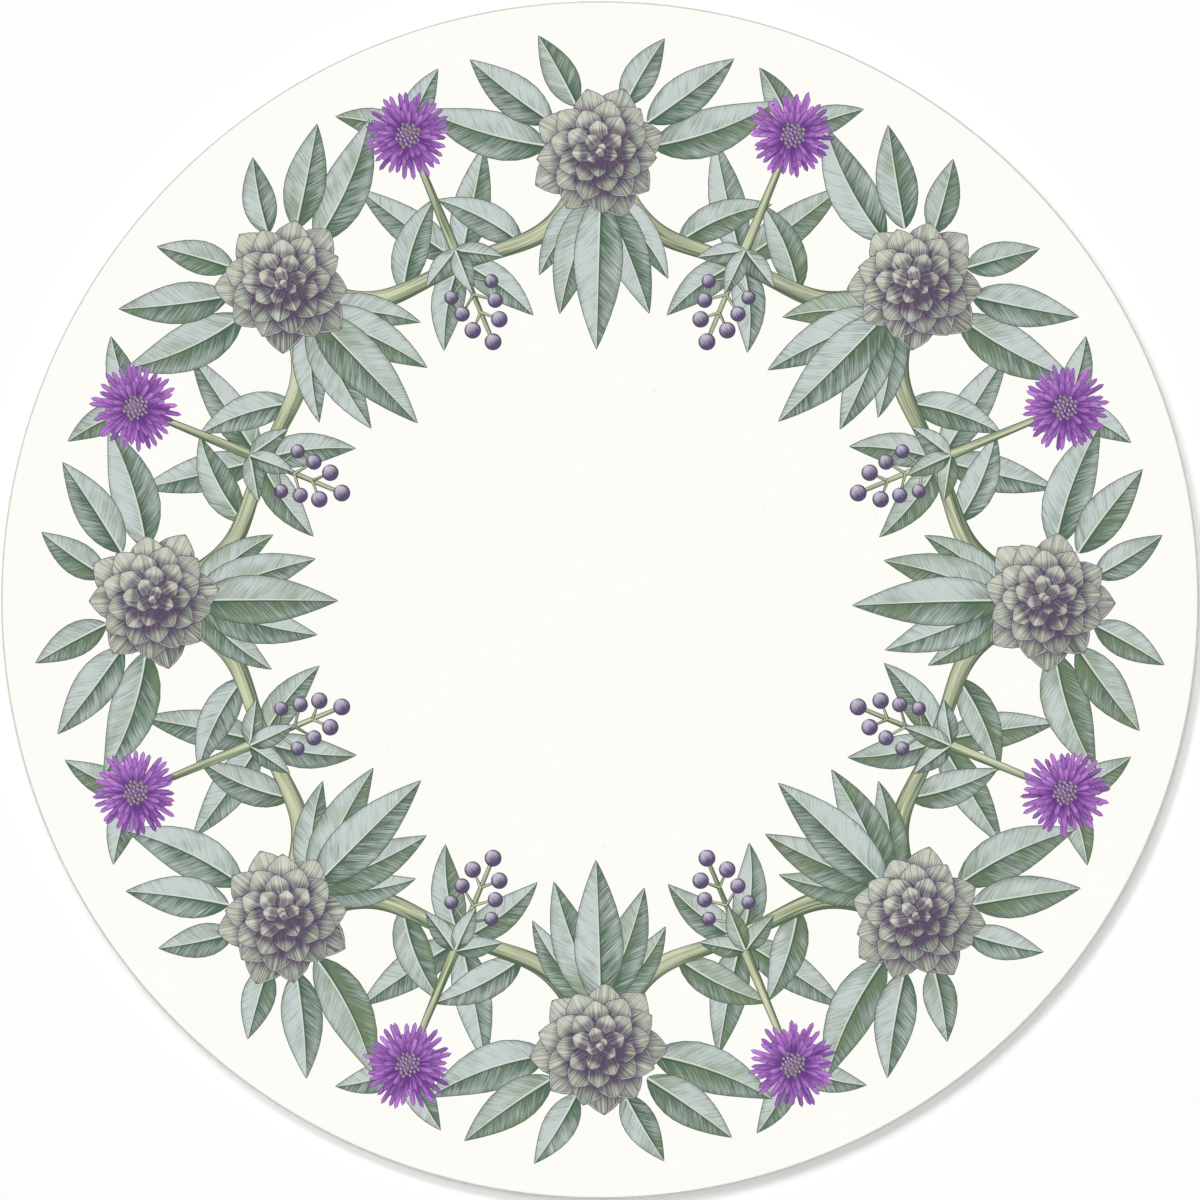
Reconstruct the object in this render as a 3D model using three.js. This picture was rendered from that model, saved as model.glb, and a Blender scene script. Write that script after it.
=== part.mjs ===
// A round table mat: a fibreboard disc with a printed laminate on its top and cork under it.
// Millimetres, +Z up. The origin is the centre of the cork's underside, where the mat rests on a table.
// The three layers are glued face to face, so each one starts at the height where the one below it ends.
import * as THREE from "three";

// Driving dimensions
const DIAMETER = 300;
const THICKNESS = 4;
const CORK_THICKNESS = 1;
const LAMINATE_THICKNESS = 0.3;
const SHOULDER_RADIUS = 0.4; // the board's sanded top edge, left bare round the laminate
const LAMINATE_EDGE_RADIUS = 0.1;
const CORK_EDGE_RADIUS = 0.2;

// How finely the round shapes are cut into flats
const SIDES = 192; // round the disc
const ARC_STEPS = 4; // across each rounded edge
const HUB_RADIUS = 20; // a ring of points round each centre, so that no flat runs from the axis to the rim

// Worked out from the driving dimensions
const RADIUS = DIAMETER / 2;
const BOARD_BOTTOM = CORK_THICKNESS;
const BOARD_TOP = THICKNESS - LAMINATE_THICKNESS;
const LAMINATE_RADIUS = RADIUS - SHOULDER_RADIUS;

// The points of a quarter round about a centre in the profile plane, between two angles in degrees.
function quarterRound(centreR, centreZ, radius, fromDegrees, toDegrees) {
  const points = [];
  for (let step = 0; step <= ARC_STEPS; step++) {
    const degrees = fromDegrees + ((toDegrees - fromDegrees) * step) / ARC_STEPS;
    const angle = THREE.MathUtils.degToRad(degrees);
    points.push([centreR + radius * Math.cos(angle), centreZ + radius * Math.sin(angle)]);
  }
  return points;
}

// A flat disc as one closed body. The rim is its edge profile, given from the bottom face up to the top face.
function discGeometry(bottom, top, rim) {
  const profile = [[0, bottom], [HUB_RADIUS, bottom], ...rim, [HUB_RADIUS, top], [0, top]];
  const points = profile.map(([r, z]) => new THREE.Vector2(r, z));
  return new THREE.LatheGeometry(points, SIDES).rotateX(Math.PI / 2);
}

function layer(name, geometry, finish) {
  const mesh = new THREE.Mesh(geometry, new THREE.MeshStandardMaterial(finish));
  mesh.name = name;
  return mesh;
}

// Agglomerated cork, flush with the board, with its lower edge slightly rubbed round.
function corkBacking() {
  const r = RADIUS - CORK_EDGE_RADIUS;
  const rim = [...quarterRound(r, CORK_EDGE_RADIUS, CORK_EDGE_RADIUS, -90, 0), [RADIUS, BOARD_BOTTOM]];
  const finish = { color: 0xb98a5a, roughness: 0.95, metalness: 0 };
  return layer("cork_backing", discGeometry(0, BOARD_BOTTOM, rim), finish);
}

// The stiff core, with a square lower edge on the cork and a rounded shoulder that shows round the laminate.
function fibreboardCore() {
  const shoulder = quarterRound(LAMINATE_RADIUS, BOARD_TOP - SHOULDER_RADIUS, SHOULDER_RADIUS, 0, 90);
  const rim = [[RADIUS, BOARD_BOTTOM], ...shoulder];
  const finish = { color: 0xcbc9c3, roughness: 0.7, metalness: 0 };
  return layer("fibreboard_core", discGeometry(BOARD_BOTTOM, BOARD_TOP, rim), finish);
}

// The wipe-clean sheet that carries the print.
function printedLaminate() {
  const r = LAMINATE_RADIUS - LAMINATE_EDGE_RADIUS;
  const edge = quarterRound(r, THICKNESS - LAMINATE_EDGE_RADIUS, LAMINATE_EDGE_RADIUS, 0, 90);
  const rim = [[LAMINATE_RADIUS, BOARD_TOP], ...edge];
  const finish = { color: 0xfcfbf6, roughness: 0.4, metalness: 0 };
  return layer("printed_laminate", discGeometry(BOARD_TOP, THICKNESS, rim), finish);
}

const placemat = new THREE.Group();
placemat.add(corkBacking(), fibreboardCore(), printedLaminate());

export default placemat;
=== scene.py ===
import math
import random

import bpy
import numpy as np
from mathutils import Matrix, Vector
from mathutils.geometry import delaunay_2d_cdt


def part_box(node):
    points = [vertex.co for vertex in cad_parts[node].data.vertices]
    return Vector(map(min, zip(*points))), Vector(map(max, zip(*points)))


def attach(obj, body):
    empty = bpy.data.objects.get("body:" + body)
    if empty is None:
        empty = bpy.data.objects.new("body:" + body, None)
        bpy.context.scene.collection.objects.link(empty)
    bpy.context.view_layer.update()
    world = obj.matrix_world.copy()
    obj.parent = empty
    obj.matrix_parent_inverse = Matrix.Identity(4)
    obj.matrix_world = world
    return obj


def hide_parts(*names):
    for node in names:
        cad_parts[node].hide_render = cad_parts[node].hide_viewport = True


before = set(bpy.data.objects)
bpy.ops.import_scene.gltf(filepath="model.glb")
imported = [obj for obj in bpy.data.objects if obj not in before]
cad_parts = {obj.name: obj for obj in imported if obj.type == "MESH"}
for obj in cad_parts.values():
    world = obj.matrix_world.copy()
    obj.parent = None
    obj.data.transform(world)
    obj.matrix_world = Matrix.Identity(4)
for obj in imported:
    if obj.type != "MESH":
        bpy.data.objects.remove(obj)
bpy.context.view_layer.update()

MM = 0.001
SIDES = 384  # round each layer

# The photograph's frame and light
PHOTO_WIDTH = 1200  # pixels
MAT_WIDTH_IN_PHOTO = 1197.8  # pixels
LENS = 1200  # millimetres, a very long one, because the photograph shows no perspective
SENSOR = 36
KEY_AZIMUTH = 122.5  # degrees from +X round to where the light comes from, at the upper left
KEY_LAMPS = (  # each one's turn from that direction, its elevation and its strength
    (0, 50, 0.65),
    (-29, 56.5, 0.505),
    (29, 56.5, 0.505),
)
KEY_SPREAD = 14  # degrees across each, which softens the shadow's edge
OVERHEAD_SPREAD = 5
OVERHEAD_STRENGTH = 1.65
FILL_STRENGTH = 0.05
FLOOR_REACH = 6  # metres each way

# The layers' real sizes, from the solids
face_low, face_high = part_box("printed_laminate")
board_low, board_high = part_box("fibreboard_core")
cork_low, cork_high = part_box("cork_backing")
FACE_EDGE = 0.1 * MM  # the rounding of the laminate's upper edge
CORK_EDGE = 0.2 * MM
PAINT_LAP = 0.1 * MM  # how far the board's edge paint stands up against the laminate
SHARP_ANGLE = 40  # degrees, from which an edge is shaded as sharp

# The cork's uneven grains
GRAIN_SPACING = 1.7 * MM
ROW_STEP = 0.866  # from one row of points to the next, as a share of the spacing
GRAIN_STRAY = 0.3  # how far a point may stray, as a share of the spacing
UNDERSIDE_DEPTH = 0.07 * MM
SIDE_DEPTH = 0.09 * MM
CORK_SEED = 11

# The print's plan
SECTORS = 8
SECTOR_ANGLE = 360 / SECTORS
GOLDEN_ANGLE = 137.508
ROSETTE_AT = 112  # distances from the middle of the mat
ASTER_AT = 126
JOINT_AT = 91  # where two swags meet
ROSETTE_RADIUS = 18
ROSETTE_PETALS = 36
ASTER_RADIUS = 11
ASTER_WHORLS = ((33, 1.0), (28, 0.8), (20, 0.6))  # the rays in each, and their share of the radius
RAY_START = 1.9  # from the aster's heart
FLORETS = 30
BERRY_ROWS = 3
PRINT_SEED = 7

# Leaves in pairs: the turn from the axis, how far out they start, length, width and bend
JOINT_LEAVES = ((36, 0, 31, 9.5, -4), (138, 0, 24, 8.5, 24))
ASTER_LEAVES = ((40, 0, 19, 7.5, 20),)
PALMETTE_LEAVES = ((52, 0, 27, 9, -24), (26, 0, 33, 11, -14))
CROWN_LEAVES = ((82, 13, 33, 12, -22), (57, 14, 27, 10.5, -6), (27, 13, 20, 8.5, 8))

# The triangulation
INSIDE_ONLY = 1  # it gives the triangles inside the outlines
MERGE_DISTANCE = 0.001  # a coarser one closes up narrow outlines, and their ink then floods the face
CORK_MERGE_DISTANCE = 1e-7


def srgb(red, green, blue):
    """A colour given as 0 to 255, as the linear one that nodes take."""
    shares = [value / 255 for value in (red, green, blue)]
    linear = [s / 12.92 if s <= 0.04045 else ((s + 0.055) / 1.055) ** 2.4 for s in shares]
    return (*linear, 1)


# Materials: a small language for node trees

class Wire:
    """A number that varies over a surface. Arithmetic on it adds math nodes."""

    def __init__(self, look, socket):
        self.look = look
        self.socket = socket

    def __add__(self, other):
        return self.look.math("ADD", self, other)

    def __radd__(self, other):
        return self.look.math("ADD", other, self)

    def __sub__(self, other):
        return self.look.math("SUBTRACT", self, other)

    def __rsub__(self, other):
        return self.look.math("SUBTRACT", other, self)

    def __mul__(self, other):
        return self.look.math("MULTIPLY", self, other)

    def __rmul__(self, other):
        return self.look.math("MULTIPLY", other, self)

    def __truediv__(self, other):
        return self.look.math("DIVIDE", self, other)

    def __abs__(self):
        return self.look.math("ABSOLUTE", self)


class Look:
    """A material being built. Its methods take wires, numbers or colours."""

    def __init__(self, name, specular):
        self.material = bpy.data.materials.new(name)
        self.material.use_nodes = True
        self.nodes = self.material.node_tree.nodes
        self.links = self.material.node_tree.links
        self.shader = self.nodes["Principled BSDF"]
        self.shader.inputs["Specular IOR Level"].default_value = specular

    def feed(self, socket, value):
        if isinstance(value, Wire):
            self.links.new(value.socket, socket)
        else:
            socket.default_value = value

    def math(self, operation, *values):
        node = self.nodes.new("ShaderNodeMath")
        node.operation = operation
        for socket, value in zip(node.inputs, values):
            self.feed(socket, value)
        return Wire(self, node.outputs[0])

    def rise(self, value, low, high):
        """0 below low and 1 above high, smooth between. It falls where low is the larger."""
        node = self.nodes.new("ShaderNodeMapRange")
        node.interpolation_type = "SMOOTHSTEP"
        self.feed(node.inputs["Value"], value)
        self.feed(node.inputs["From Min"], low)
        self.feed(node.inputs["From Max"], high)
        return Wire(self, node.outputs["Result"])

    def mix(self, share, first, second):
        """A colour from first, at share 0, to second, at share 1."""
        node = self.nodes.new("ShaderNodeMix")
        node.data_type = "RGBA"
        # inputs 6 and 7 and output 2 are this node's sockets for colours
        self.feed(node.inputs[0], share)
        self.feed(node.inputs[6], first)
        self.feed(node.inputs[7], second)
        return Wire(self, node.outputs[2])

    def vector(self, x, y, z):
        node = self.nodes.new("ShaderNodeCombineXYZ")
        for socket, value in zip(node.inputs, (x, y, z)):
            self.feed(socket, value)
        return Wire(self, node.outputs[0])

    def split(self, socket):
        node = self.nodes.new("ShaderNodeSeparateXYZ")
        self.links.new(socket, node.inputs[0])
        return [Wire(self, output) for output in node.outputs]

    def attribute(self, name):
        node = self.nodes.new("ShaderNodeAttribute")
        node.attribute_name = name
        return self.split(node.outputs["Vector"])

    def place(self):
        """The point on the object, in millimetres."""
        node = self.nodes.new("ShaderNodeTexCoord")
        return [axis / MM for axis in self.split(node.outputs["Object"])]

    def noise(self, vector, scale=1.0, detail=2.0):
        node = self.nodes.new("ShaderNodeTexNoise")
        self.feed(node.inputs["Vector"], vector)
        self.feed(node.inputs["Scale"], scale)
        self.feed(node.inputs["Detail"], detail)
        return Wire(self, node.outputs[0])

    def cells(self, vector, scale, feature="F1"):
        """Distance to a grain's middle or edge, and with F1 a random colour for each grain."""
        node = self.nodes.new("ShaderNodeTexVoronoi")
        node.feature = feature
        self.feed(node.inputs["Vector"], vector)
        self.feed(node.inputs["Scale"], scale)
        return node

    def bump(self, height, depth):
        node = self.nodes.new("ShaderNodeBump")
        node.inputs["Distance"].default_value = depth
        self.feed(node.inputs["Height"], height)
        self.links.new(node.outputs["Normal"], self.shader.inputs["Normal"])

    def finish(self, colour, roughness):
        self.feed(self.shader.inputs["Base Color"], colour)
        self.feed(self.shader.inputs["Roughness"], roughness)
        return self.material


class Laminate(Look):
    """The satin sheet over the whole print: its fine orange peel and its even, faintly cloudy gloss."""

    def __init__(self, name):
        super().__init__(name, specular=0.25)
        self.here = self.vector(*self.place())
        self.bump(self.noise(self.here, 2.2, 3), 0.004 * MM)
        self.gloss = 0.52 + 0.08 * self.noise(self.here, 0.06, 3)


class Ink(Laminate):
    """A painted shape's look. It knows where in the shape a point lies, in millimetres."""

    def __init__(self, name):
        super().__init__(name)
        self.along, self.across, self.rim = self.attribute("patch")
        self.chance, self.turned, self.length = self.attribute("tone")
        self.share = self.along / self.length
        self.off_middle = abs(self.across)

    def facing(self):
        """1 where the shape points to the light, and -1 where it points away."""
        return self.math("COSINE", self.turned)

    def from_light(self):
        """Distance to the side of the centre line, positive on the side away from the light."""
        return self.across * self.math("SIGN", self.math("SINE", self.turned))

    def strokes(self, lengthways, sideways, coarse, fine):
        """Fine pencil strokes that run lengthways, centred on 0."""
        spot = self.vector(lengthways * coarse, sideways * fine, self.chance * 60)
        return self.noise(spot, 1.0, 3) - 0.5

    def outlined(self, colour, line_colour, width, strength):
        line = self.rise(self.rim, width, width * 0.35)
        return self.finish(self.mix(line * strength, colour, line_colour), self.gloss)


def paper():
    look = Laminate("paper")
    cloud = look.noise(look.here, 0.035, 4)
    mottle = look.noise(look.here, 0.4, 4)
    colour = look.mix(0.35 * cloud + 0.65 * mottle, srgb(254, 253, 249), srgb(247, 246, 240))
    grain = look.cells(look.here, 0.11)
    speck = look.rise(Wire(look, grain.outputs["Distance"]), 0.035, 0.02)
    return look.finish(look.mix(0.35 * speck, colour, srgb(196, 194, 188)), look.gloss)


def leaf():
    """Silver green in one half and deep green in the other, hatched along the side veins."""
    ink = Ink("leaf")
    near_rib = ink.rim / (ink.off_middle + ink.rim + 0.001)
    shaded = ink.rise(ink.from_light(), -0.2, 0.2)
    hatch = ink.strokes(ink.along * 0.6 + ink.off_middle, ink.along - ink.off_middle * 0.9, 0.16, 2.8)
    wash = ink.noise(ink.vector(ink.along * 0.09, ink.across * 0.16, ink.chance * 31), 1.0, 2) - 0.5
    vein = ink.math("PINGPONG", ink.along - ink.off_middle * 1.15 + ink.chance * 5, 2.2)
    pale_vein = ink.rise(vein, 0.3, 0.05) * ink.rise(ink.rim, 0.3, 1.4)
    dark_vein = ink.rise(vein, 2.0, 2.18) * ink.rise(ink.rim, 0.2, 1.0)
    depth = 0.1 + shaded * (0.34 + 0.56 * near_rib) + 0.4 * ink.rise(ink.share, 0.4, 0.0)
    depth = depth + hatch * 1.7 + wash * 0.9 + ink.rise(ink.rim, 1.4, 0.2) * 0.26
    depth = depth + dark_vein * 0.2 - pale_vein * 0.24 + (ink.chance - 0.5) * 0.2
    green = ink.mix(depth, srgb(196, 206, 203), srgb(68, 98, 76))
    warm = ink.rise(wash + ink.chance * 0.3, 0.1, 0.45) * 0.35
    green = ink.mix(warm, green, srgb(140, 156, 108))
    rib = 0.34 - 0.24 * ink.share
    rib_shadow = ink.rise(ink.off_middle, rib * 3.6, rib * 1.2) * shaded
    green = ink.mix(rib_shadow * 0.85, green, srgb(50, 76, 58))
    green = ink.mix(ink.rise(ink.off_middle, rib, rib * 0.5), green, srgb(212, 219, 206))
    return ink.outlined(green, srgb(58, 76, 64), 0.32, 0.85)


def stem():
    """Rounded, with long parallel strokes from pale green to olive."""
    ink = Ink("stem")
    level = ink.from_light() / (ink.off_middle + ink.rim + 0.001)
    broad = ink.strokes(ink.along, ink.across, 0.04, 1.3)
    fine = ink.strokes(ink.along, ink.across, 0.06, 3.2)
    line = ink.rise(fine, 0.03, 0.12)
    depth = 0.22 + ink.rise(level, -0.2, 0.95) * 0.75 + ink.rise(level, -0.6, -1.0) * 0.4
    depth = depth + broad * 1.9 + line * 0.34
    green = ink.mix(depth, srgb(206, 211, 176), srgb(76, 98, 68))
    return ink.outlined(green, srgb(58, 74, 54), 0.28, 0.85)


def rosette_petal():
    """Grey green with a dark violet root and flushed edges, lighter where it points to the light."""
    ink = Ink("rosette_petal")
    facing = ink.facing()
    fine = ink.strokes(ink.along, ink.across, 0.13, 3.6)
    broad = ink.strokes(ink.along, ink.across, 0.09, 1.1)
    ridge = ink.rise(ink.off_middle, ink.length * 0.07, 0.1) * 0.2
    depth = 0.46 - facing * 0.24 + fine * 2.0 + broad * 1.0 - ridge
    green = ink.mix(depth, srgb(206, 210, 194), srgb(86, 102, 80))
    root = ink.rise(ink.share, 0.8, 0.5)
    near_edge = ink.rise(ink.rim, ink.length * 0.13, ink.length * 0.02)
    flush = root + near_edge * 0.46 + fine * 1.3 - facing * 0.16 - 0.05
    petal = ink.mix(flush * 0.92, green, srgb(80, 62, 90))
    line = 0.1 + ink.length * 0.02
    pale_edge = ink.rise(ink.rim, line * 2.2, line * 1.3) * ink.rise(ink.share, 0.55, 0.8)
    petal = ink.mix(pale_edge * 0.62, petal, srgb(200, 196, 204))
    petal = ink.mix(ink.rise(ink.share, 0.92, 0.99) * 0.8, petal, srgb(104, 68, 72))
    return ink.outlined(petal, srgb(50, 40, 62), line, 0.9)


def aster_ray():
    ink = Ink("aster_ray")
    fine = ink.strokes(ink.along, ink.across, 0.16, 3.6)
    lift = ink.rise(ink.share, 0.15, 1.0) * 0.6 + fine * 1.6
    lift = lift + (ink.chance - 0.5) * 0.5 + ink.facing() * 0.1
    violet = ink.mix(lift, srgb(92, 32, 128), srgb(200, 132, 222))
    return ink.outlined(violet, srgb(78, 28, 106), 0.22, 0.7)


def floret():
    ink = Ink("floret")
    tone = ink.mix(ink.rise(ink.rim, 0.05, 0.42), srgb(56, 26, 76), srgb(176, 148, 190))
    olive = ink.rise(ink.chance, 0.3, 0.8) * 0.55
    return ink.finish(ink.mix(olive, tone, srgb(118, 126, 88)), ink.gloss)


def berry():
    """A bloomy violet-grey ball, lit from the shape's far end."""
    ink = Ink("berry")
    fine = ink.strokes(ink.along, ink.across, 0.5, 2.4)
    lit = ink.rise(ink.share + fine * 0.5, 0.25, 0.9) * ink.rise(ink.rim, 0.0, 0.9)
    tone = ink.mix(lit, srgb(76, 62, 98), srgb(198, 190, 210))
    return ink.outlined(tone, srgb(54, 42, 68), 0.3, 0.85)


def board_edge_look():
    """Sanded fibreboard under thin greige sealer: pressed fibres run round the edge and show through."""
    look = Look("sealed_fibreboard", specular=0.3)
    x, y, z = look.place()
    here = look.vector(x, y, z)
    layers = look.noise(look.vector(x * 0.5, y * 0.5, z * 7.0), 1.0, 4)
    fleck = look.noise(here, 3.0, 3)
    bare = look.rise(look.noise(here, 0.22, 4), 0.6, 0.76)
    colour = look.mix(layers, srgb(217, 216, 211), srgb(195, 193, 187))
    colour = look.mix(look.rise(fleck, 0.58, 0.72) * 0.3, colour, srgb(158, 152, 141))
    colour = look.mix(bare * 0.25, colour, srgb(176, 168, 153))
    look.bump(0.6 * layers + 0.4 * fleck, 0.05 * MM)
    return look.finish(colour, 0.62 + 0.22 * fleck)


def cork_look():
    """Pressed cork grains, mostly tan, a few of them dark bark, with a thin binder line round each."""
    look = Look("cork", specular=0.2)
    x, y, z = look.place()
    warp = look.noise(look.vector(x, y, z), 0.9, 2)
    here = look.vector(x + warp * 1.1, y - warp * 0.9, z + warp * 0.7)
    grains = look.cells(here, 0.75)
    edges = look.cells(here, 0.75, "DISTANCE_TO_EDGE")
    red, green, blue = look.split(grains.outputs["Color"])
    gap = look.rise(Wire(look, edges.outputs["Distance"]), 0.1, 0.02)
    pores = look.noise(look.vector(x, y, z), 3.2, 3)
    colour = look.mix(red, srgb(206, 168, 122), srgb(166, 122, 80))
    colour = look.mix(look.rise(green, 0.9, 0.94), colour, srgb(92, 62, 42))
    colour = look.mix(look.rise(pores, 0.56, 0.72) * 0.45, colour, srgb(118, 82, 54))
    colour = look.mix(gap * 0.5, colour, srgb(110, 76, 50))
    look.bump((1 - gap) * 0.7 + blue * 0.2 - look.rise(pores, 0.6, 0.75) * 0.5, 0.12 * MM)
    return look.finish(colour, 0.86 + 0.1 * red)


# The print: painted shapes, each a strip either side of a centre line

def round_steps(count):
    """Shares from 0 to 1 that crowd towards both ends, where a shape's outline turns most."""
    return (1 - np.cos(np.pi * np.arange(count + 1) / count)) / 2


def leaf_width(share):
    return np.sin(np.pi * share ** 0.78) ** 0.9


def petal_width(share):
    """Widest a little past the middle, and drawn out to a point."""
    return (0.7 + 1.15 * share) * np.maximum(1 - share ** 2.1, 0)


def ray_width(share):
    return (0.55 + 0.45 * share) * np.sqrt(np.maximum(1 - share ** 7, 0))


def disc_width(share):
    return 2 * np.sqrt(np.maximum(share * (1 - share), 0))


def stem_width(share):
    return 1 - 0.4 * share


class Shape:
    """A painted shape in millimetres: its ink, its centre line and its half width at each point."""

    def __init__(self, kind, middle, half, rng):
        self.kind = kind
        self.middle = middle
        self.half = half
        run = np.gradient(middle, axis=0)
        run /= np.linalg.norm(run, axis=1)[:, None]
        self.normal = np.stack([-run[:, 1], run[:, 0]], axis=1)
        steps = np.linalg.norm(np.diff(middle, axis=0), axis=1)
        self.stations = np.concatenate([[0], np.cumsum(steps)])
        chord = middle[-1] - middle[0]
        turned = math.atan2(chord[1], chord[0]) - math.radians(KEY_AZIMUTH)
        self.tone = (rng.random(), turned, self.stations[-1])

    def side(self, sign):
        """The outline on one side, without the ends where the shape comes to a point."""
        wide = self.half > 1e-3
        return (self.middle + sign * self.normal * self.half[:, None])[wide]

    def locate(self, points):
        """For each point: how far along, how far to the side, and how far in from the outline."""
        start = self.middle[:-1]
        run = np.diff(self.middle, axis=0)
        reach = ((points[:, None] - start) * run).sum(-1) / (run ** 2).sum(-1)
        reach = np.clip(reach, 0, 1)
        away = points[:, None] - (start + reach[..., None] * run)
        nearest = (away ** 2).sum(-1).argmin(1)
        rows = np.arange(len(points))
        reach = reach[rows, nearest]
        away = away[rows, nearest]
        run = run[nearest]
        along = self.stations[nearest] + reach * np.diff(self.stations)[nearest]
        half = self.half[nearest] + reach * np.diff(self.half)[nearest]
        sign = np.sign(run[:, 0] * away[:, 1] - run[:, 1] * away[:, 0])
        across = np.minimum(np.linalg.norm(away, axis=1), half)
        return np.stack([along, sign * across, half - across], axis=1)


def towards(degrees):
    angle = math.radians(degrees)
    return np.array([math.cos(angle), math.sin(angle)])


def bowed(kind, start, heading, length, width, bend, profile, steps, rng):
    """A shape that leaves start at a heading and turns evenly by bend degrees, all a little varied."""
    heading += rng.uniform(-2, 2)
    bend += rng.uniform(-4, 4)
    length *= rng.uniform(0.96, 1.04)
    shares = round_steps(steps)
    headings = np.radians(heading + bend * (shares[:-1] + shares[1:]) / 2)
    moves = length * np.diff(shares)[:, None] * np.stack([np.cos(headings), np.sin(headings)], axis=1)
    middle = np.vstack([start, start + np.cumsum(moves, axis=0)])
    return Shape(kind, middle, width / 2 * profile(shares), rng)


def leaf_shape(start, heading, length, width, bend, rng):
    return bowed("leaf", start, heading, length, width, bend, leaf_width, 13, rng)


def leaf_pairs(heart, axis, pairs, rng):
    """Leaves in pairs round a heart, one to each side of an axis."""
    shapes = []
    for spread, start, length, width, bend in pairs:
        for side in (1, -1):
            heading = axis + side * spread
            foot = heart + towards(heading) * start
            shapes.append(leaf_shape(foot, heading, length, width, side * bend, rng))
    return shapes


def dot(kind, centre, size, heading, steps, rng):
    """A round spot, whose centre line points to the light."""
    start = centre - towards(heading) * size / 2
    shares = round_steps(steps)
    middle = start + towards(heading) * size * shares[:, None]
    return Shape(kind, middle, size / 2 * disc_width(shares), rng)


def curve_through(first, second, third, fourth, steps):
    """A cubic Bezier curve's points."""
    t = np.linspace(0, 1, steps + 1)[:, None]
    return (
        (1 - t) ** 3 * first
        + 3 * (1 - t) ** 2 * t * second
        + 3 * (1 - t) * t ** 2 * third
        + t ** 3 * fourth
    )


def stem_along(points, width, rng):
    shares = np.linspace(0, 1, len(points))
    return Shape("stem", points, width / 2 * stem_width(shares), rng)


def swag(axis, side, rng):
    """Half of the stem that hangs between two rosettes, from one's foot to the joint, and its leaf."""
    steps, leaf_at = 22, 12
    end = axis + side * SECTOR_ANGLE / 2
    joint = towards(end) * JOINT_AT
    points = curve_through(
        towards(axis + side * 4) * (ROSETTE_AT - 12),
        towards(axis + side * 9) * (ROSETTE_AT - 22),
        joint + towards(end - side * 90) * 15,
        joint,
        steps,
    )
    run = points[leaf_at + 1] - points[leaf_at]
    heading = math.degrees(math.atan2(run[1], run[0]))
    return [
        leaf_shape(points[leaf_at], heading - side * 58, 25, 9, side * 26, rng),
        stem_along(points, 5.6, rng),
    ]


def joint_leaves(axis, rng):
    """Pairs that leave the joint of two swags: one towards the aster and one beside the sprig."""
    return leaf_pairs(towards(axis) * (JOINT_AT + 1), axis, JOINT_LEAVES, rng)


def palmette(axis, rng):
    """Leaves that fan from a rosette's foot to the middle of the mat."""
    foot = towards(axis) * (ROSETTE_AT - 10)
    shapes = leaf_pairs(foot, axis + 180, PALMETTE_LEAVES, rng)
    shapes.append(leaf_shape(foot, axis + 180, 38, 12.5, 0, rng))
    return shapes


def crown(axis, rng):
    """Leaves that spread sideways and outwards from behind a rosette."""
    return leaf_pairs(towards(axis) * ROSETTE_AT, axis, CROWN_LEAVES, rng)


def aster_leaves(axis, rng):
    """The aster's stem up from the joint, and a pair of leaves that show outside the flower."""
    stem_points = towards(axis) * np.linspace(JOINT_AT, ASTER_AT - 6, 12)[:, None]
    shapes = [stem_along(stem_points, 2.8, rng)]
    return shapes + leaf_pairs(towards(axis) * ASTER_AT, axis, ASTER_LEAVES, rng)


def berry_sprig(axis, rng):
    """A straight sprig from the joint to the middle of the mat, with berries on short stalks."""
    tip = JOINT_AT - 21
    along, across = towards(axis), towards(axis + 90)
    shapes = [stem_along(along * np.linspace(JOINT_AT, tip, 12)[:, None], 1.7, rng)]
    berries = [(tip, 0, 4.3)]
    for row in range(BERRY_ROWS):
        for side in (1, -1):
            berries.append((tip + 4.6 + 4.8 * row, side * (3.6 + 0.9 * row), 4.2 - 0.3 * row))
    for distance, offset, _ in berries[1:]:
        ends = along * (distance + 3.4), along * distance + across * offset
        shapes.append(stem_along(np.linspace(*ends, 5), 0.9, rng))
    for distance, offset, size in berries:
        centre = along * distance + across * offset
        shapes.append(dot("berry", centre, size, KEY_AZIMUTH, 10, rng))
    return shapes


def bracts(axis, rng):
    """Three small leaves that cover the joint of two swags."""
    foot = towards(axis) * (JOINT_AT + 4)
    return [leaf_shape(foot, axis + 180 + spread, 12, 5.4, 0, rng) for spread in (58, -58, 0)]


def rosette(axis, rng):
    """Pointed petals laid by the golden angle, the outermost first."""
    heart = towards(axis) * ROSETTE_AT
    facing = rng.uniform(0, 360)
    shapes = []
    for number in range(ROSETTE_PETALS, 0, -1):
        reach = ROSETTE_RADIUS * (number / ROSETTE_PETALS) ** 0.55
        heading = facing + GOLDEN_ANGLE * number
        length = 0.62 * reach + 1.3
        start = heart + towards(heading) * (reach - length)
        width = 0.56 * reach + 1.4
        shapes.append(bowed("rosette_petal", start, heading, length, width, 0, petal_width, 9, rng))
    shapes.append(dot("rosette_petal", heart, 2.3, KEY_AZIMUTH, 6, rng))
    return shapes


def aster(axis, rng):
    """Three whorls of narrow rays round a button of florets."""
    heart = towards(axis) * ASTER_AT
    shapes = [dot("aster_ray", heart, 4.4, KEY_AZIMUTH, 8, rng)]
    for count, reach in ASTER_WHORLS:
        turn = rng.uniform(0, 360)
        for number in range(count):
            heading = turn + 360 * number / count + rng.uniform(-3, 3)
            length = ASTER_RADIUS * reach * rng.uniform(0.88, 1.06) - RAY_START
            start = heart + towards(heading) * RAY_START
            shapes.append(bowed("aster_ray", start, heading, length, 1.65, 0, ray_width, 5, rng))
    for number in range(FLORETS):
        centre = heart + towards(GOLDEN_ANGLE * number) * 0.58 * math.sqrt(number)
        shapes.append(dot("floret", centre, 1.15, KEY_AZIMUTH, 4, rng))
    return shapes


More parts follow.
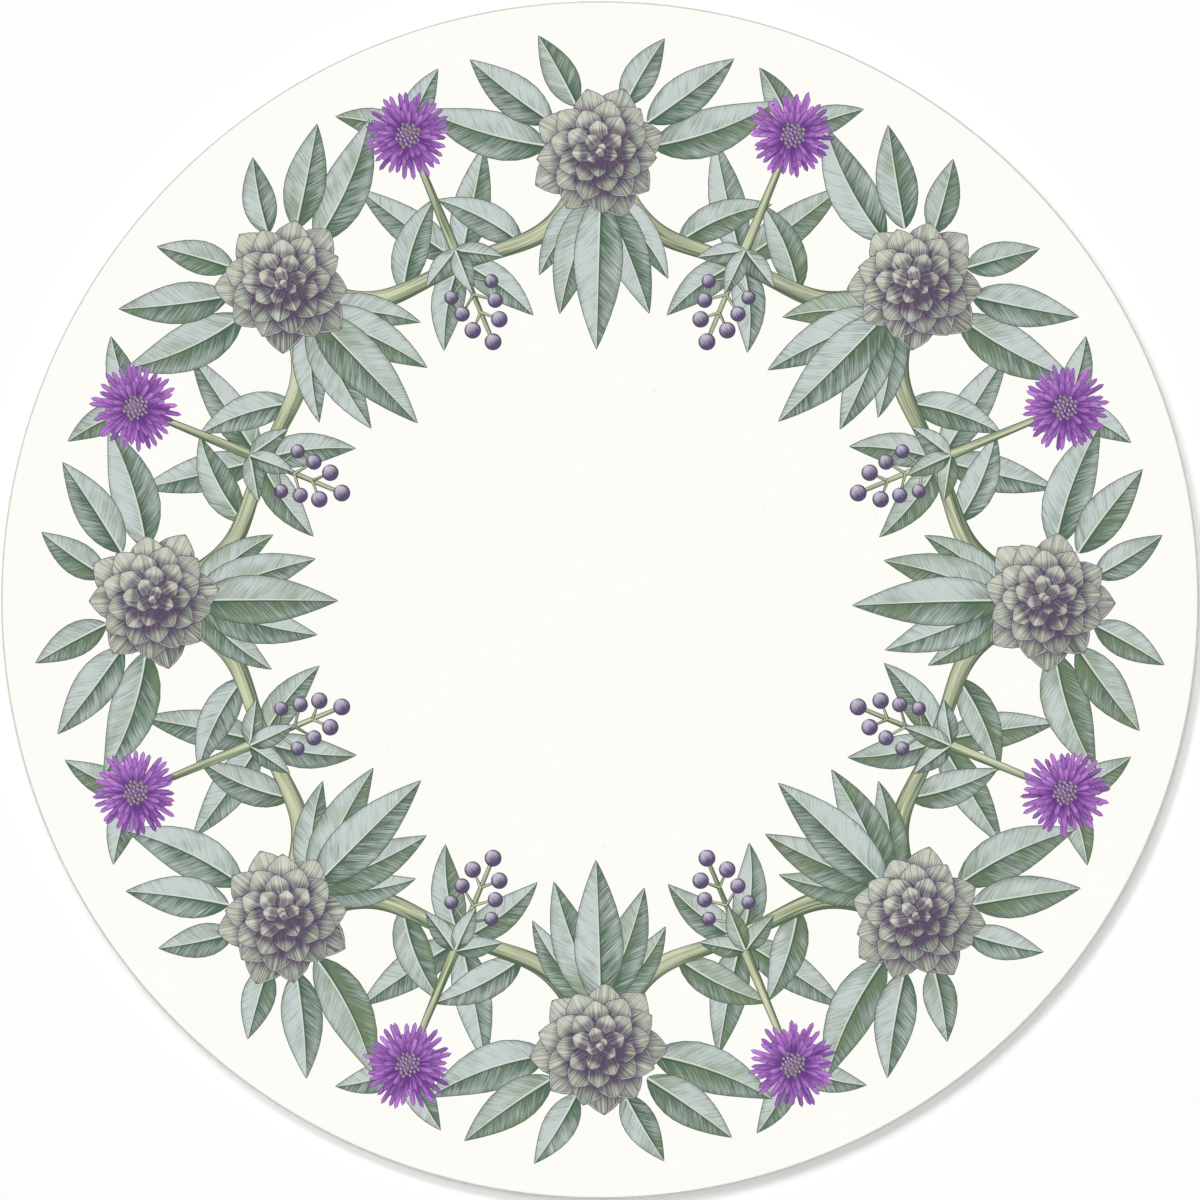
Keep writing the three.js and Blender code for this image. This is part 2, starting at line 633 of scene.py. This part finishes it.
def plan_print():
    """Every painted shape, in the order of painting."""
    rng = random.Random(PRINT_SEED)
    axes = [90 + SECTOR_ANGLE * number for number in range(SECTORS)]
    between = [axis + SECTOR_ANGLE / 2 for axis in axes]
    shapes = []
    for axis in between:
        shapes += joint_leaves(axis, rng)
    for axis in axes:
        shapes += swag(axis, 1, rng) + swag(axis, -1, rng)
    for axis in between:
        shapes += aster_leaves(axis, rng) + berry_sprig(axis, rng) + bracts(axis, rng)
    for axis in axes:
        shapes += crown(axis, rng) + palmette(axis, rng) + rosette(axis, rng)
    for axis in between:
        shapes += aster(axis, rng)
    return shapes


# Meshes

def ring(radius, height):
    angles = np.arange(SIDES) * math.tau / SIDES
    return np.stack([radius * np.cos(angles), radius * np.sin(angles), np.full(SIDES, height)], axis=1)


def round_ring():
    """The numbers of a ring's vertices, each with the next one's."""
    return [(i, (i + 1) % SIDES) for i in range(SIDES)]


def band(lower, upper):
    """The quads between two rings of vertices, facing out."""
    return [(lower + a, lower + b, upper + b, upper + a) for a, b in round_ring()]


def triangulated(points, outlines, merge_distance):
    """The triangles inside the outlines, with what shows where each point and outline went."""
    made, _, triangles, sources, _, covers = delaunay_2d_cdt(
        points, [], outlines, INSIDE_ONLY, merge_distance, True
    )
    found = {source: number for number, ids in enumerate(sources) for source in ids}
    return made, triangles, found, covers


def quarter_round(radius, height, edge, first, last, steps=5, squareness=1):
    """Radii and heights of a rounded edge about a point, between two angles in degrees."""
    points = []
    for angle in np.radians(np.linspace(first, last, steps + 1)):
        out, up = math.cos(angle), math.sin(angle)
        out = math.copysign(abs(out) ** (1 / squareness), out)
        up = math.copysign(abs(up) ** (1 / squareness), up)
        points.append((radius + edge * out, height + edge * up))
    return points


def make_piece(name, node, vertices, faces, materials, indices=None):
    mesh = bpy.data.meshes.new(name)
    mesh.from_pydata([tuple(v) for v in vertices], [], faces)
    for material in materials:
        mesh.materials.append(material)
    if indices is not None:
        mesh.polygons.foreach_set("material_index", indices)
    mesh.polygons.foreach_set("use_smooth", [True] * len(mesh.polygons))
    mesh.set_sharp_from_angle(angle=math.radians(SHARP_ANGLE))
    piece = bpy.data.objects.new(name, mesh)
    bpy.context.scene.collection.objects.link(piece)
    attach(piece, "root")
    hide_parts(node)
    return piece


def set_map(mesh, positions):
    """Gives the mesh its bake map, from one pair of numbers for each corner."""
    layer = mesh.uv_layers.new(name="OFBake")
    layer.data.foreach_set("uv", np.asarray(positions, np.float32).ravel())


def flat_map(mesh, spread, is_hidden):
    """The shown face fills the square, with its rim round it. The hidden one is small in a corner."""
    shown_middle, shown_reach = 0.5, 0.49
    hidden_middle, hidden_reach = 0.055, 0.05
    limit = max(spread) / shown_reach
    pairs = []
    for polygon in mesh.polygons:
        hidden = is_hidden(polygon)
        middle = hidden_middle if hidden else shown_middle
        for vertex in polygon.vertices:
            x, y, z = mesh.vertices[vertex].co
            distance = math.hypot(x, y) or 1
            reach = hidden_reach * distance / face_high.x if hidden else spread[vertex] / limit
            pairs.append((middle + reach * x / distance, middle + reach * y / distance))
    set_map(mesh, pairs)


def printed_face():
    """The laminate, with the print's shapes cut into its flat top so that each carries its own ink."""
    shapes = plan_print()
    flat_radius = face_high.x - FACE_EDGE
    rim_on_map = 0.4 * MM
    outer = ring(flat_radius / MM, 0)[:, :2]
    points = [outer]
    outlines = [list(range(SIDES))]
    owners = [None]
    count = SIDES
    for shape in shapes:
        left, right = shape.side(1), shape.side(-1)
        middle = list(range(count, count + len(shape.middle)))
        left_ids = list(range(middle[-1] + 1, middle[-1] + 1 + len(left)))
        right_ids = list(range(left_ids[-1] + 1, left_ids[-1] + 1 + len(right)))
        count = right_ids[-1] + 1
        points += [shape.middle, left, right]
        outlines += [middle + left_ids[::-1], middle[::-1] + right_ids]
        owners += [shape, shape]
    flat = [Vector(p) for p in np.vstack(points)]
    made, triangles, found, covers = triangulated(flat, outlines, MERGE_DISTANCE)
    on_top = [owners[max(ids)] for ids in covers]
    spots = np.array(made)
    vertices = [(x * MM, y * MM, face_high.z) for x, y in spots]
    spread = [math.hypot(x, y) * MM for x, y in spots]

    profile = [(face_high.x, face_low.z)]
    profile += quarter_round(flat_radius, face_high.z - FACE_EDGE, FACE_EDGE, 0, 90)[:-1]
    rows = []
    for number, (radius, height) in enumerate(profile):
        rows.append(len(vertices))
        vertices += [tuple(v) for v in ring(radius, height)]
        spread += [flat_radius + rim_on_map * (1 - number / len(profile))] * SIDES
    faces = [tuple(t) for t in triangles]
    flat_count = len(faces)
    for lower, upper in zip(rows, rows[1:]):
        faces += band(lower, upper)
    faces += [(rows[-1] + a, rows[-1] + b, found[b], found[a]) for a, b in round_ring()]
    faces.append(tuple(range(rows[0] + SIDES - 1, rows[0] - 1, -1)))
    rim_count = len(faces) - flat_count

    kinds = ["paper", "leaf", "stem", "rosette_petal", "aster_ray", "floret", "berry"]
    inks = [paper(), leaf(), stem(), rosette_petal(), aster_ray(), floret(), berry()]
    indices = [kinds.index(s.kind) if s else 0 for s in on_top] + [0] * rim_count
    piece = make_piece(
        "printed_face", "printed_laminate", vertices, faces, inks, indices
    )
    piece.data.polygons.foreach_set("use_smooth", [False] * flat_count + [True] * rim_count)
    write_painting(piece.data, shapes, on_top, triangles, spots)
    flat_map(piece.data, spread, lambda polygon: polygon.normal.z < -0.5)
    return piece


def write_painting(mesh, shapes, on_top, triangles, spots):
    """Stores, at each corner of each painted triangle, where it lies in its shape."""
    corners = np.array([list(t) for t in triangles])
    patch = np.zeros((len(mesh.loops), 3), np.float32)
    tone = np.zeros((len(mesh.loops), 3), np.float32)
    tone[:, 2] = 1
    number_of = {id(shape): number for number, shape in enumerate(shapes)}
    owner = np.array([number_of[id(s)] if s else -1 for s in on_top])
    for number, shape in enumerate(shapes):
        mine = np.flatnonzero(owner == number)
        if len(mine):
            loops = (mine[:, None] * 3 + np.arange(3)).ravel()
            patch[loops] = shape.locate(spots[corners[mine].ravel()])
            tone[loops] = shape.tone
    for name, values in (("patch", patch), ("tone", tone)):
        attribute = mesh.attributes.new(name, "FLOAT_VECTOR", "CORNER")
        attribute.data.foreach_set("vector", values.ravel())


def board_edge():
    """The board: square below, with a painted shoulder that is nearly a ledge round the laminate."""
    shoulder = board_high.x - face_high.x
    middle_height = board_high.z + PAINT_LAP - shoulder
    profile = [(board_high.x, board_low.z)]
    profile += quarter_round(face_high.x, middle_height, shoulder, 0, 90, 8, squareness=3)
    profile.append((face_high.x, board_high.z))
    vertices = [tuple(v) for radius, height in profile for v in ring(radius, height)]
    faces = []
    for row in range(len(profile) - 1):
        faces += band(row * SIDES, (row + 1) * SIDES)
    top = (len(profile) - 1) * SIDES
    faces.append(tuple(range(SIDES - 1, -1, -1)))
    faces.append(tuple(range(top, top + SIDES)))
    piece = make_piece(
        "board_edge", "fibreboard_core", vertices, faces, [board_edge_look()]
    )
    strip_map(piece.data, profile)
    return piece


def strip_map(mesh, profile, strips=8):
    """The edge lies in the square as strips, one above the other, with the two hidden faces on top."""
    strips_top = 0.92
    hidden_height, hidden_scale = 0.96, 0.2
    steps = [math.dist(a, b) for a, b in zip(profile, profile[1:])]
    heights = np.concatenate([[0], np.cumsum(steps)]) / sum(steps)
    per_strip = SIDES // strips
    pairs = []
    for polygon in mesh.polygons:
        if len(polygon.vertices) > 4:
            middle = 0.3 if polygon.normal.z > 0 else 0.7
            for vertex in polygon.vertices:
                x, y, z = mesh.vertices[vertex].co
                pairs.append((middle + x * hidden_scale, hidden_height + y * hidden_scale))
            continue
        row, turn = divmod(polygon.index, SIDES)
        strip, column = divmod(turn, per_strip)
        corners = ((column, row), (column + 1, row), (column + 1, row + 1), (column, row + 1))
        for place, level in corners:
            sideways = 0.01 + 0.98 * place / per_strip
            upwards = (strip + 0.05 + 0.9 * heights[level]) * strips_top / strips
            pairs.append((sideways, upwards))
    set_map(mesh, pairs)


def cork_sheet():
    """The cork, its underside and edge a little uneven where grains stand back from the flat."""
    rng = random.Random(CORK_SEED)
    flat_radius = cork_high.x - CORK_EDGE
    clear_rim = GRAIN_SPACING * 0.6
    rim_on_map = 1.1 * MM
    outer = ring(flat_radius, 0)[:, :2]
    points = [Vector(p) for p in outer]
    rows = int(flat_radius / (GRAIN_SPACING * ROW_STEP))
    for row in range(-rows, rows + 1):
        for column in range(-rows, rows + 1):
            x = (column + 0.5 * (row % 2) + rng.uniform(-GRAIN_STRAY, GRAIN_STRAY)) * GRAIN_SPACING
            y = (row * ROW_STEP + rng.uniform(-GRAIN_STRAY, GRAIN_STRAY)) * GRAIN_SPACING
            if math.hypot(x, y) < flat_radius - clear_rim:
                points.append(Vector((x, y)))
    made, triangles, found, _ = triangulated(points, [list(range(SIDES))], CORK_MERGE_DISTANCE)
    rim_ids = {found[i] for i in range(SIDES)}
    vertices = []
    for number, (x, y) in enumerate(made):
        depth = 0 if number in rim_ids else UNDERSIDE_DEPTH * rng.random() ** 2
        vertices.append((x, y, cork_low.z + depth))
    spread = [math.hypot(x, y) for x, y, z in vertices]

    profile = quarter_round(flat_radius, cork_low.z + CORK_EDGE, CORK_EDGE, -90, 0, 3)[1:]
    height = cork_high.z - CORK_EDGE
    profile += [(cork_high.x, CORK_EDGE + height * share / 4) for share in range(1, 5)]
    starts = []
    for number, (radius, z) in enumerate(profile):
        starts.append(len(vertices))
        last = number == len(profile) - 1
        for x, y, z in ring(1, z):
            reach = radius - (0 if last else SIDE_DEPTH * rng.random() ** 2)
            vertices.append((x * reach, y * reach, z))
        spread += [flat_radius + rim_on_map * (number + 1) / len(profile)] * SIDES
    faces = [tuple(reversed(t)) for t in triangles]
    faces += [(found[a], found[b], starts[0] + b, starts[0] + a) for a, b in round_ring()]
    for lower, upper in zip(starts, starts[1:]):
        faces += band(lower, upper)
    faces.append(tuple(range(starts[-1], starts[-1] + SIDES)))
    piece = make_piece("cork_sheet", "cork_backing", vertices, faces, [cork_look()])
    flat_map(piece.data, spread, lambda polygon: len(polygon.vertices) > 4)
    return piece


# The studio

def floor():
    mesh = bpy.data.meshes.new("floor")
    corners = ((-1, -1), (1, -1), (1, 1), (-1, 1))
    vertices = [(FLOOR_REACH * x, FLOOR_REACH * y, 0) for x, y in corners]
    mesh.from_pydata(vertices, [], [(0, 1, 2, 3)])
    look = Look("floor", specular=0.0)
    x, y, z = look.place()
    shade = look.noise(look.vector(x, y, z), 0.01, 2)
    mesh.materials.append(look.finish(look.mix(shade, srgb(253, 253, 253), srgb(252, 252, 252)), 0.9))
    piece = bpy.data.objects.new("floor", mesh)
    bpy.context.scene.collection.objects.link(piece)


def distant_lamp(name, azimuth, elevation, spread, strength):
    data = bpy.data.lights.new(name, "SUN")
    data.energy = strength
    data.angle = math.radians(spread)
    lamp = bpy.data.objects.new(name, data)
    around, up = math.radians(azimuth), math.radians(elevation)
    source = Vector((math.cos(around) * math.cos(up), math.sin(around) * math.cos(up), math.sin(up)))
    lamp.rotation_euler = source.to_track_quat("Z", "Y").to_euler()
    bpy.context.scene.collection.objects.link(lamp)


def lights():
    """A broad key of three lamps that casts the shadow, one overhead that keeps it pale, and a sky."""
    for number, (turn, elevation, strength) in enumerate(KEY_LAMPS):
        distant_lamp(f"key_{number}", KEY_AZIMUTH + turn, elevation, KEY_SPREAD, strength)
    distant_lamp("overhead", 0, 90, OVERHEAD_SPREAD, OVERHEAD_STRENGTH)
    world = bpy.data.worlds.new("studio")
    world.use_nodes = True
    background = world.node_tree.nodes["Background"]
    background.inputs["Color"].default_value = (1, 1, 1, 1)
    background.inputs["Strength"].default_value = FILL_STRENGTH
    bpy.context.scene.world = world


def camera():
    """Looks straight down, at the distance that gives the mat its width in the photograph."""
    data = bpy.data.cameras.new("camera")
    data.lens = LENS
    data.sensor_width = SENSOR
    piece = bpy.data.objects.new("camera", data)
    frame_width = 2 * board_high.x * PHOTO_WIDTH / MAT_WIDTH_IN_PHOTO
    piece.location = (0, 0, face_high.z + frame_width * LENS / SENSOR)
    bpy.context.scene.collection.objects.link(piece)
    bpy.context.scene.camera = piece


camera()
lights()
floor()
printed_face()
board_edge()
cork_sheet()
bpy.context.scene.view_settings.view_transform = "Standard"
